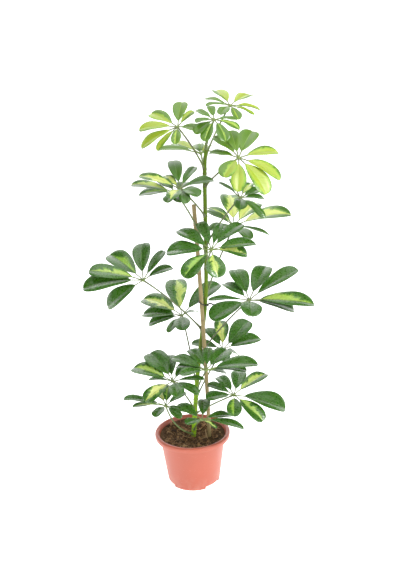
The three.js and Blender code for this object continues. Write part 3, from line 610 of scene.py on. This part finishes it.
class Shape:
    """Points and faces that grow into one mesh, with a UV map and float attributes on the points."""

    def __init__(self):
        self.points = []
        self.faces = []
        self.slots = []
        self.uv = []
        self.values = {}

    def add(self, points, faces, slot=0, uv=None, **values):
        start = len(self.points)
        self.points += [tuple(p) for p in points]
        self.faces += [tuple(start + i for i in face) for face in faces]
        self.slots += [slot] * len(faces)
        self.uv += uv or [(0.5, 0.5)] * len(points)
        for key in set(self.values) | set(values):
            held = self.values.setdefault(key, [0.0] * start)
            value = values.get(key, 0.0)
            held += value if isinstance(value, list) else [value] * len(points)

    def rings(self, rings, slot=0, uv=None, **values):
        """A closed skin over rings that all have the same number of points."""
        count = len(rings[0])
        points = [p for ring in rings for p in ring]
        faces = []
        for i in range(len(rings) - 1):
            for k in range(count):
                a, b = i * count + k, i * count + (k + 1) % count
                faces.append((a, b, b + count, a + count))
        faces.append(tuple(reversed(range(count))))
        faces.append(tuple(range((len(rings) - 1) * count, len(rings) * count)))
        self.add(points, faces, slot, uv, **values)

    def build(self, name, materials, sharp):
        """A mesh object. Edges over this angle in degrees stay sharp, and the rest is smooth."""
        mesh = bpy.data.meshes.new(name)
        mesh.from_pydata(self.points, [], self.faces)
        layer = mesh.uv_layers.new(name="blade")
        for loop in mesh.loops:
            layer.data[loop.index].uv = self.uv[loop.vertex_index]
        for key, value in self.values.items():
            mesh.attributes.new(key, "FLOAT", "POINT").data.foreach_set("value", value)
        for material in materials:
            mesh.materials.append(material)
        mesh.polygons.foreach_set("material_index", self.slots)
        mesh.polygons.foreach_set("use_smooth", [True] * len(self.faces))
        work = bmesh.new()
        work.from_mesh(mesh)
        bmesh.ops.recalc_face_normals(work, faces=work.faces)
        for edge in work.edges:
            if len(edge.link_faces) == 2 and edge.calc_face_angle() > radians(sharp):
                edge.smooth = False
        work.to_mesh(mesh)
        work.free()
        piece = bpy.data.objects.new(name, mesh)
        bpy.context.scene.collection.objects.link(piece)
        return piece


def polar(radius, angle):
    return radius * cos(angle), radius * sin(angle)


def circle(radius, sides):
    """Points of a circle round the Z axis, as pairs."""
    return [polar(radius, FULL_TURN * k / sides) for k in range(sides)]


def tube(points, radii, sides):
    """Rings round a line of points."""
    rings = []
    normal = None
    last = len(points) - 1
    for i, point in enumerate(points):
        along = (points[min(i + 1, last)] - points[max(i - 1, 0)]).normalized()
        if normal is None:
            normal = UP.copy() if abs(along.z) < 0.9 else Vector((1, 0, 0))
        normal = (normal - along * normal.dot(along)).normalized()
        across = along.cross(normal)
        rings.append([point + normal * x + across * y for x, y in circle(radii[i], sides)])
    return rings


def bezier(a, b, c, steps):
    places = (i / steps for i in range(steps + 1))
    return [a * (1 - t) ** 2 + b * (2 * t * (1 - t)) + c * t * t for t in places]


def smoothed(low, high, x):
    t = min(1.0, max(0.0, (x - low) / (high - low)))
    return t * t * (3 - 2 * t)


def bulge(distance, reach):
    """1 at no distance, falling smoothly to nearly 0 at twice the reach."""
    return exp(-((distance / reach) ** 2))


def add_piece(shape, name, materials, node=None, sharp=40):
    """Makes a shape into a piece of the object, in place of this node where one is given."""
    piece = shape.build(name, materials, sharp)
    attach(piece, "root")
    if node:
        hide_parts(node)


# ---- pot ----


def wall_radius(z):
    return POT_BASE_RADIUS + (POT_SHOULDER_RADIUS - POT_BASE_RADIUS) * z / POT_SHOULDER_HEIGHT


def wall_points(levels, inset):
    """Points up or down the wall, at shares of the shoulder's height."""
    heights = (POT_SHOULDER_HEIGHT * share for share in levels)
    return [(wall_radius(z) - inset, z) for z in heights]


def from_corner(radius, height, steps):
    return [(radius + outwards * MM, height + upwards * MM) for outwards, upwards in steps]


def pot_profile(pocket):
    """Radius and height up the outside, over the rim and down the inside. A pocket raises the foot."""
    lift = POCKET_HEIGHT if pocket else 0.0
    lip = POT_RIM_RADIUS - POT_LIP
    skirt = POT_HEIGHT - POT_RIM_DROP
    hollow = POT_RIM_RADIUS - POT_WALL
    floor = lift + POT_WALL
    inner = POCKET_INNER_RADIUS
    return [
        *((radius, 0) for radius in POT_FLOOR_RINGS),
        (inner - POCKET_BEVEL, 0), (inner, POCKET_BEVEL if pocket else 0),
        (inner, lift), (inner + POCKET_SEAM, lift),
        *from_corner(wall_radius(lift), lift, FOOT_ROUND),
        *wall_points(OUTER_LEVELS, 0),
        (POT_SHOULDER_RADIUS, POT_SHOULDER_HEIGHT),
        *from_corner(lip, POT_HEIGHT, RIM_UNDERSIDE),
        (hollow - RIM_TAPER, POT_HEIGHT - POT_WALL),
        *from_corner(hollow, skirt, SKIRT_INSIDE),
        *from_corner(POT_RIM_RADIUS, skirt, SKIRT_OUTSIDE),
        *from_corner(POT_RIM_RADIUS, POT_HEIGHT, RIM_ROUND),
        (POT_RIM_RADIUS - POT_LIP / 2, POT_HEIGHT),
        *from_corner(lip, POT_HEIGHT, LIP_ROUND),
        *from_corner(POT_SHOULDER_RADIUS - POT_WALL, POT_SHOULDER_HEIGHT, LIP_INSIDE),
        *wall_points(INNER_LEVELS, POT_WALL),
        (POT_BASE_RADIUS - POT_WALL, floor), (inner - POT_WALL, floor),
        (inner - POT_WALL, POT_WALL), (POT_FLOOR_RINGS[0], POT_WALL),
    ]


def pot_columns():
    """Angles round the pot, each with whether it lies in a pocket. They are closer at a pocket's sides."""
    columns = []
    for angle in (360 * k / POT_COLUMNS for k in range(POT_COLUMNS)):
        away = min(abs((angle - centre + 180) % 360 - 180) for centre in POCKET_ANGLES)
        if abs(away - POCKET_SPREAD / 2) >= 3 * POCKET_EDGE:
            columns.append((angle % 360, away < POCKET_SPREAD / 2))
    for centre in POCKET_ANGLES:
        for side in (-1, 1):
            middle = centre + side * POCKET_SPREAD / 2
            columns.append(((middle - side * POCKET_EDGE) % 360, True))
            columns.append(((middle + side * POCKET_EDGE) % 360, False))
    return sorted(columns)


def make_pot(material):
    rings = []
    for angle, pocket in pot_columns():
        a = radians(angle)
        rings.append([Vector((*polar(r, a), z)) for r, z in pot_profile(pocket)])
    count, total = len(rings[0]), len(rings)
    faces = []
    for i in range(total):
        j = (i + 1) % total
        for k in range(count - 1):
            faces.append((i * count + k, j * count + k, j * count + k + 1, i * count + k + 1))
    faces.append(tuple(i * count for i in reversed(range(total))))
    faces.append(tuple(i * count + count - 1 for i in range(total)))
    shape = Shape()
    shape.add([p for ring in rings for p in ring], faces)
    add_piece(shape, "pot_shell", [material], "pot", sharp=32)


# ---- soil ----


def soil_top(x, y):
    """Height of the soil, with its waves, lumps and crumbs, which fade at the pot's wall."""
    radius = hypot(x, y)
    angle = atan2(y, x)
    waves = sum(
        sin(radius * 1000 * along + turns * angle + radians(phase))
        for along, turns, phase in SOIL_WAVES
    )
    rise = SOIL_RISE * smoothed(SOIL_LEVEL_RADIUS, POT_SHOULDER_RADIUS, radius)
    fade = smoothed(SOIL_EDGE, SOIL_EDGE - 0.014, radius)
    place = Vector((x * CRUMB_SCALE, y * CRUMB_SCALE, 1.7))
    crumbs = noise.fractal(place, *CRUMB_OCTAVES) * CRUMB_HEIGHT
    return SOIL_HEIGHT + rise + fade * SOIL_LUMP * waves / 2 + crumbs * (0.25 + 0.75 * fade)


def make_soil(material):
    rings = []
    for step in range(1, SOIL_RINGS + 1):
        ring = circle(SOIL_EDGE * step / SOIL_RINGS, SOIL_SIDES)
        rings.append([Vector((x, y, soil_top(x, y))) for x, y in ring])
    inset = POT_WALL + SOIL_GAP
    shelf = POCKET_HEIGHT + inset
    shoulder = POT_SHOULDER_RADIUS - inset
    foot = POCKET_INNER_RADIUS - inset
    sides = (
        (shoulder, POT_SHOULDER_HEIGHT), (wall_radius(shelf) - inset, shelf), (foot, shelf), (foot, inset),
    )
    for radius, z in sides:
        rings.append([Vector((x, y, z)) for x, y in circle(radius, SOIL_SIDES)])
    shape = Shape()
    shape.rings(rings)
    add_piece(shape, "soil_body", [material], "soil", sharp=60)


def scattered(dice, reach):
    """A random place within this reach of the middle."""
    return polar(reach * sqrt(dice.random()), dice.uniform(0, FULL_TURN))


def add_chip(shape, dice):
    """A splinter or crumb of bark: a bent, uneven block that lies on the soil."""
    x, y = scattered(dice, CHIP_REACH)
    length = dice.uniform(*(BIG_CHIP_LENGTHS if dice.random() < BIG_CHIP_SHARE else SMALL_CHIP_LENGTHS))
    width = length * dice.uniform(0.25, 0.6)
    size = Vector((length, width, length * dice.uniform(0.15, 0.3)))
    centre = Vector((x, y, soil_top(x, y) + size.z / 2))
    turn = Matrix.Rotation(dice.uniform(0, FULL_TURN), 3, "Z")
    for axis in "XY":
        turn = turn @ Matrix.Rotation(dice.gauss(0, 0.35), 3, axis)
    points = []
    for along in (-1, 0, 1):
        taper = 1 - 0.35 * abs(along) * dice.random()
        bend = (1 - along * along) * dice.uniform(0, 0.8)
        for across, up in ((-1, -1), (1, -1), (1, 1), (-1, 1)):
            corner = Vector((along, across * taper, up + bend))
            corner += Vector([dice.uniform(-rough, rough) for rough in (0.2, 0.2, 0.3)])
            points.append(centre + turn @ (corner * size))
    faces = [(3, 2, 1, 0), (8, 9, 10, 11)]
    for i in (0, 4):
        faces += [(i + k, i + (k + 1) % 4, i + (k + 1) % 4 + 4, i + k + 4) for k in range(4)]
    shape.add(points, faces, seed=dice.random() ** 1.6)


def add_fibre(shape, dice):
    """A thin root or fibre that wanders over the soil, as far as the pot's wall."""
    x, y = scattered(dice, FIBRE_REACH)
    heading = dice.uniform(0, FULL_TURN)
    step = dice.uniform(*FIBRE_LENGTHS) / FIBRE_STEPS
    line = []
    for i in range(FIBRE_STEPS + 1):
        if hypot(x, y) > FIBRE_LIMIT:
            break
        rise = 0.0011 + 0.0008 * sin(i * 0.9)
        line.append(Vector((x, y, soil_top(x, y) + rise)))
        heading += dice.gauss(0, 0.35)
        x += cos(heading) * step
        y += sin(heading) * step
    if len(line) > 2:
        radius = dice.uniform(0.00025, 0.00055)
        shape.rings(tube(line, [radius] * len(line), 4), seed=dice.uniform(0.55, 1.0))


def make_litter(material):
    dice = random.Random(11)
    shape = Shape()
    for _ in range(CHIPS):
        add_chip(shape, dice)
    for _ in range(FIBRES):
        add_fibre(shape, dice)
    add_piece(shape, "bark_litter", [material])


def make_dry_stalks(material):
    """Old leaf stalks that have withered at the foot of the stem and the cane."""
    shape = Shape()
    for *points, first, last in DRY_STALKS:
        line = bezier(*(Vector(point) * MM for point in points), DRY_STALK_STEPS)
        shares = (i / DRY_STALK_STEPS for i in range(DRY_STALK_STEPS + 1))
        radii = [(first + (last - first) * share) * MM for share in shares]
        shape.rings(tube(line, radii, 6), seed=0.95)
    add_piece(shape, "dry_stalks", [material])


# ---- stem, cane and tie ----


def stem_at(z):
    """The stem's centre and radius at a height."""
    for low, high in zip(STEM_LINE, STEM_LINE[1:]):
        if z <= high[2] or high is STEM_LINE[-1]:
            share = (z - low[2]) / (high[2] - low[2])
            values = [a + (b - a) * share for a, b in zip(low, high)]
            return Vector(values[:3]), values[3]


def make_stem(material):
    dice = random.Random(5)
    foot, tip = STEM_LINE[0][2], STEM_LINE[-1][2]
    nodes = [leaf.node for leaf in LEAVES]
    rings, marks_and_shade_values = [], []
    for i in range(STEM_STEPS + 1):
        z = foot + (tip - foot) * i / STEM_STEPS
        near = [stem_at(min(tip, max(foot, z + d)))[0] for d in (-STEM_EASE, 0, STEM_EASE)]
        centre = sum(near, Vector()) / len(near)
        swell = min(MOST_SWELL, sum(bulge(z - node, KNOT_REACH) for node in nodes))
        scar = min(1.0, sum(bulge(z - place, SCAR_REACH) for place in (*nodes, *OLD_SCARS)))
        radius = stem_at(z)[1] + STEM_KNOT * swell + SCAR_RISE * scar
        ring = []
        for x, y in circle(1, STEM_SIDES):
            rough = 0.00022 * noise.noise(Vector((x * 1.6, y * 1.6, z * 60)))
            ring.append(centre + Vector((x, y, 0)) * (radius + rough))
        rings.append(ring)
        marks_and_shade_values += [scar] * STEM_SIDES
    top = rings[-1]
    for share, lift in BUD_RINGS:
        middle = centre + Vector((BUD_LEAN * lift / BUD_HEIGHT, 0, lift))
        rings.append([middle + (p - centre) * share for p in top])
        marks_and_shade_values += [0.0] * STEM_SIDES
    shape = Shape()
    shape.rings(rings, knot=marks_and_shade_values)
    for _ in range(LENTICELS):
        centre, radius = stem_at(dice.uniform(0.13, 0.8))
        out = Vector((*polar(1, dice.uniform(0, FULL_TURN)), 0))
        line = [centre + out * (radius + 0.0001) + UP * d for d in (-0.0012, 0, 0.0012)]
        shape.rings(tube(line, (0.0002, 0.0005, 0.0002), 5), knot=0.8)
    add_piece(shape, "stem_bark", [material], "stem", sharp=50)


def cane_at(z):
    share = (z - CANE_FOOT.z) / (CANE_TOP.z - CANE_FOOT.z)
    return CANE_FOOT.lerp(CANE_TOP, share) + Vector((4 * CANE_BOW * share * (1 - share), 0, 0))


def make_cane(material):
    joints = []
    z = CANE_FOOT.z + CANE_JOINT_EVERY / 2
    while z < CANE_TOP.z - CANE_JOINT_EVERY / 4:
        joints.append(z)
        z += CANE_JOINT_EVERY
    points, radii, marks_and_shade_values = [], [], []
    for i in range(CANE_STEPS + 1):
        z = CANE_FOOT.z + (CANE_TOP.z - CANE_FOOT.z) * i / CANE_STEPS
        near = min((joint - z for joint in joints), key=abs)
        ridge = sum(height * bulge(near + below, reach) for below, reach, height in CANE_RIDGES)
        groove = bulge(near + CANE_GROOVE[0], CANE_GROOVE[1])
        points.append(cane_at(z))
        radii.append(CANE_RADIUS + CANE_RIDGE_HEIGHT * ridge - CANE_GROOVE_DEPTH * groove)
        marks_and_shade_values += [min(1.0, groove + 0.25 * ridge)] * CANE_SIDES
    rings = tube(points, radii, CANE_SIDES)
    top = rings[-1]
    end = points[-1]
    # The cut face is a little darker. The hollow's wall darkens down to its floor, which is fully dark:
    # painted shade in the hollow.
    for share, depth in CANE_END:
        rings.append([end + (p - end) * share - UP * depth for p in top])
        marks_and_shade_values += [1.0 if depth > 0 else 0.2] * CANE_SIDES
    shape = Shape()
    shape.rings(rings, knot=marks_and_shade_values)
    add_piece(shape, "bamboo_cane", [material], "cane", sharp=50)


def make_tie(material):
    stem, stem_radius = stem_at(TIE_HEIGHT)
    cane = cane_at(TIE_HEIGHT)
    middle = (stem + cane) / 2
    between = cane - stem
    between.z = 0
    between.normalize()
    side = Vector((-between.y, between.x, 0))
    clear = TIE_WIRE + TIE_SLACK

    def leaning(point):
        return point - UP * (TIE_LEAN * (point.x - middle.x))

    # The loop goes half round the cane and half round the stem.
    route = []
    for centre, radius, start in ((cane, CANE_RADIUS, -90), (stem, stem_radius, 90)):
        for angle in range(start, start + 181, TIE_ARC_STEP):
            a = radians(angle)
            out = between * cos(a) + side * sin(a)
            route.append(leaning(centre + out * (radius + clear)))
    route.append(route[0])
    shape = Shape()
    shape.rings(tube(route, [TIE_WIRE] * len(route), TIE_SIDES))
    # Its two ends wind round each other in the tail, and then part, one up and one down.
    root = leaning(middle + side * (stem_radius + clear))
    elbow = root + TIE_ELBOW
    for phase, way in ((0, -1), (pi, 1)):
        line = []
        for share in (i / TIE_TAIL_STEPS for i in range(TIE_TAIL_STEPS + 1)):
            a = phase + FULL_TURN * TIE_TAIL_TURNS * share
            winding = Vector((0, sin(a), cos(a))) * (TIE_WIRE * TIE_TAIL_WINDING)
            centre = root.lerp(elbow, min(1, 2 * share)) + TIE_TIP * max(0, 2 * share - 1)
            line.append(centre + winding)
        tip = line[-1]
        for share in (i / TIE_ENDS_STEPS for i in range(1, TIE_ENDS_STEPS + 1)):
            line.append(tip + TIE_ENDS * share + UP * (way * TIE_ENDS_SPREAD * share ** 1.5))
        shape.rings(tube(line, [TIE_WIRE * TIE_TAIL_WIRE] * len(line), TIE_SIDES))
    add_piece(shape, "wire_tie", [material], "tie")


# ---- leaves ----


def view_directions(away):
    """Right, up and away for a viewer at the eye who looks this way."""
    roll = radians(VIEW_ROLL)
    level_right = away.cross(UP).normalized()
    level_up = level_right.cross(away)
    right = level_right * cos(roll) - level_up * sin(roll)
    up = level_right * sin(roll) + level_up * cos(roll)
    return right, up, away


def leaf_facing(leaf):
    outward = leaf.hub - stem_at(leaf.node)[0]
    outward.z = 0
    lean = (FRONT + outward.normalized() * OUTWARD_LEAN).normalized()
    tilt = radians(leaf.tilt)
    return UP * cos(tilt) + lean * sin(tilt)


def flat_depth(leaf, views, right, above):
    """How far behind the hub a tip lies on the leaf's drooping plane, within the leaf's usual reach."""
    facing = leaf_facing(leaf)
    view_right, view_up, away = views
    seen = hypot(right, above)
    off_plane = right * view_right.dot(facing) + above * view_up.dot(facing) + LEAFLET_DROOP * seen
    depth = -off_plane / away.dot(facing)
    least, most = (sqrt(max(0.0, (share * leaf.reach) ** 2 - seen ** 2)) for share in REACH_SHARES)
    return copysign(min(most, max(least, abs(depth))), depth)


def tip_offset(leaf, tip, corners):
    """From the hub to a tip. Of the bends that a leaflet may take, the one at a corner of the solid."""
    right, above = tip[:2]
    view_right, view_up, away = views = view_directions((leaf.hub - VIEW_EYE).normalized())
    seen = view_right * right + view_up * above
    flat = flat_depth(leaf, views, right, above)
    bends = [seen + away * (flat + BEND_STEP * k) for k in range(-BEND_STEPS, BEND_STEPS + 1)]
    return min(bends, key=lambda offset: corners.find(leaf.hub + offset)[2])


def blade_width(s):
    """Width of a blade as a share of its full width, for s from 0 at its base to 1 at its tip."""
    s = min(0.9985, max(0.0, s))
    widest = 0.4559
    return (s ** 0.8) * ((1 - s) ** 0.42) / widest


def length_share(s):
    """Place along the whole leaflet, for s from 0 at its blade's base to 1 at its tip."""
    return STALK_SHARE + (1 - STALK_SHARE) * s


def add_leaflet(shape, leaf, tip, offset, dice):
    young, purple = leaf.young, leaf.purple
    cream, factor = (*tip[2:], 1)[:2]
    length = offset.length
    along = offset.normalized()
    across = leaf_facing(leaf).lerp(UP, BLADE_LEVEL).cross(along).normalized()
    lifted = along.cross(across).normalized()
    width = length * WIDTH_TO_LENGTH * factor
    arch = LEAFLET_ARCH * dice.uniform(0.9, 1.15)
    twist = dice.gauss(0, 0.10)
    curve = dice.gauss(0, 0.012) * length
    phase = dice.uniform(0, 6.28)
    ripple = dice.uniform(0.0003, 0.0010)
    uneven = dice.uniform(-0.08, 0.08)
    notch = max(0.0, dice.gauss(0.2, 0.6)) * 0.0016
    seed = dice.random()
    bias = dice.choice((-1, 1)) * min(1.0, 1.6 * (1 - cream))

    def midrib(t):
        past = max(0.0, t - TIP_DROOP_FROM) / (1 - TIP_DROOP_FROM)
        rise = arch * 4 * t * (1 - t) - TIP_DROOP * past ** 2
        return leaf.hub + (along * t + lifted * rise) * length + across * (curve * sin(pi * t))

    rings, uv, under = [], [], []
    for s in BLADE_ROWS:
        t = length_share(s)
        half = max(width / 2 * blade_width(s), NARROWEST_HALF)
        middle = midrib(t)
        slope = (midrib(min(1, t + 0.01)) - midrib(t - 0.01)).normalized()
        turn = twist * (s - 0.3)
        way = (across * cos(turn) + lifted * sin(turn)).normalized()
        way = (way - slope * way.dot(slope)).normalized()
        normal = slope.cross(way).normalized()
        thick = LEAFLET_THICKNESS / 2 * (1.5 - 0.5 * smoothed(0, 0.15, s))
        top, bottom = [], []
        for u in BLADE_COLUMNS:
            side, lag = (1, 1.3) if u > 0 else (-1, 0)
            reach = half * u * (1 + uneven * side)
            fold = LEAFLET_FOLD * half * abs(u) * (1.7 - abs(u))
            wave = ripple * sin(phase + 9.5 * s + lag) * u ** 2
            back = notch * (1 - abs(u)) * smoothed(0.9, 1.0, s)
            p = middle + way * reach + normal * (fold + wave) - slope * back
            to_face = normal * (thick * (1 - 0.45 * u ** 6))  # the blade is thinner at its edges
            top.append(p + to_face)
            bottom.append(p - to_face)
        rings.append(top + bottom[::-1])
        spread = [((1 + u) / 2, s) for u in BLADE_COLUMNS]
        uv += spread + spread[::-1]
        under += [0.0] * len(top) + [1.0] * len(bottom)
    shape.rings(rings, 0, uv, seed=seed, cream=cream, bias=bias, young=young, purple=purple, under=under)

    # Its own short stalk, which runs a little way into the blade.
    steps = len(SHORT_STALK_RADII) - 2
    line = [midrib(STALK_SHARE * i / steps) for i in range(steps + 1)]
    line.append(midrib(STALK_SHARE + SHORT_STALK_INTO_BLADE))
    stalk = tube(line, SHORT_STALK_RADII, 7)
    shape.rings(stalk, 1, seed=seed, young=max(young, 0.5), purple=purple * 0.6)
    # The midrib stands out as a low rounded ridge under the blade.
    below = lifted * (LEAFLET_THICKNESS / 2 + 0.0001)
    ridge = [midrib(length_share(s)) - below for s in RIDGE_ROWS]
    radii = [0.0009 * (1 - s) + 0.0002 for s in RIDGE_ROWS]
    shape.rings(tube(ridge, radii, 5), 1, seed=seed, young=max(young, 0.4), purple=0.0)


def stalk_radius(t):
    """Radius of a leaf's stalk, for t from 0 at the stem to 1 at the hub."""
    foot = 0.0021 * bulge(t, 0.07)
    flare = 0.0006 * exp(-t / 0.12)
    head = 0.0009 * smoothed(0.93, 1.0, t)
    return STALK_RADIUS + foot + flare + head


def add_stalk(shape, leaf):
    foot, _ = stem_at(leaf.node)
    along = leaf.hub - foot
    length = along.length
    along.normalize()
    side = UP.cross(along).normalized()
    lift = along.cross(side)
    upwards, sideways = leaf.bow
    middle = foot.lerp(leaf.hub, 0.5) + (lift * upwards + side * sideways) * length
    line = bezier(foot, middle, leaf.hub, STALK_STEPS)
    radii = [stalk_radius(i / STALK_STEPS) for i in range(STALK_STEPS + 1)]
    shape.rings(tube(line, radii, 10), 1, young=leaf.young, purple=leaf.purple)
    # The knuckle where the leaflets meet is a ball.
    angles = [pi * (i + 0.5) / KNUCKLE_RINGS for i in range(KNUCKLE_RINGS)]
    centres = [leaf.hub - along * (KNUCKLE_RADIUS * cos(a)) for a in angles]
    ball = tube(centres, [KNUCKLE_RADIUS * sin(a) for a in angles], 12)
    shape.rings(ball, 1, young=max(leaf.young, 0.6), purple=0.0)


def corners_of(solid):
    """The corners of a solid, to search by place."""
    corners = KDTree(len(solid.data.vertices))
    for i, corner in enumerate(solid.data.vertices):
        corners.insert(corner.co, i)
    corners.balance()
    return corners


def make_leaf(leaf, materials, dice):
    shape = Shape()
    add_stalk(shape, leaf)
    node = "leaf_" + leaf.name
    corners = corners_of(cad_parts[node])
    for tip in leaf.tips:
        add_leaflet(shape, leaf, tip, tip_offset(leaf, tip, corners), dice)
    add_piece(shape, "foliage_" + leaf.name, materials, node, sharp=55)


# ---- floor, lights and camera ----


def make_stage(material):
    points, faces = [Vector()], []
    for radius, z in FLOOR_PROFILE:
        points += [Vector((x, y, z)) for x, y in circle(radius, FLOOR_SIDES)]
    for k in range(FLOOR_SIDES):
        after = (k + 1) % FLOOR_SIDES
        faces.append((0, 1 + k, 1 + after))
        for ring in range(len(FLOOR_PROFILE) - 1):
            inner = 1 + ring * FLOOR_SIDES
            outer = inner + FLOOR_SIDES
            faces.append((inner + k, outer + k, outer + after, inner + after))
    shape = Shape()
    shape.add(points, faces)
    shape.build("floor", [material], sharp=40)


def add_light(name, place, size, power):
    lamp = bpy.data.lights.new(name, "AREA")
    lamp.shape = "DISK"
    lamp.size = size
    lamp.energy = power
    holder = bpy.data.objects.new(name, lamp)
    holder.location = place
    holder.rotation_euler = (LIGHT_AIM - Vector(place)).to_track_quat("-Z", "Y").to_euler()
    bpy.context.scene.collection.objects.link(holder)


def make_lights():
    world = bpy.data.worlds.new("studio")
    world.use_nodes = True
    sky = world.node_tree.nodes["Background"].inputs
    sky["Color"].default_value = WHITE
    sky["Strength"].default_value = WORLD_STRENGTH
    bpy.context.scene.world = world
    for light in LIGHTS:
        add_light(*light)


def make_camera():
    data = bpy.data.cameras.new("camera")
    data.sensor_width = SENSOR_WIDTH
    data.lens = SENSOR_WIDTH * FOCAL_PIXELS / PICTURE_HEIGHT
    data.clip_end = FARTHEST
    camera = bpy.data.objects.new("camera", data)
    bpy.context.scene.collection.objects.link(camera)
    pitch = radians(CAMERA_PITCH)
    right, up, away = view_directions(Vector((0, cos(pitch), -sin(pitch))))
    turned = Matrix((right, up, -away)).transposed().to_4x4()
    turned.translation = VIEW_EYE
    camera.matrix_world = turned
    bpy.context.scene.camera = camera


# ---- assembly ----

make_camera()
make_stage(floor_look())
make_lights()
bpy.context.scene.view_settings.view_transform = "Standard"

make_pot(pot_look())
make_soil(soil_look())
litter = litter_look()
make_litter(litter)
make_dry_stalks(litter)
make_stem(stem_look())
make_cane(cane_look())
make_tie(wire_look())
leaf_materials = [blade_look(), stalk_look()]
for number, leaf in enumerate(LEAVES):
    make_leaf(leaf, leaf_materials, random.Random(100 + number))
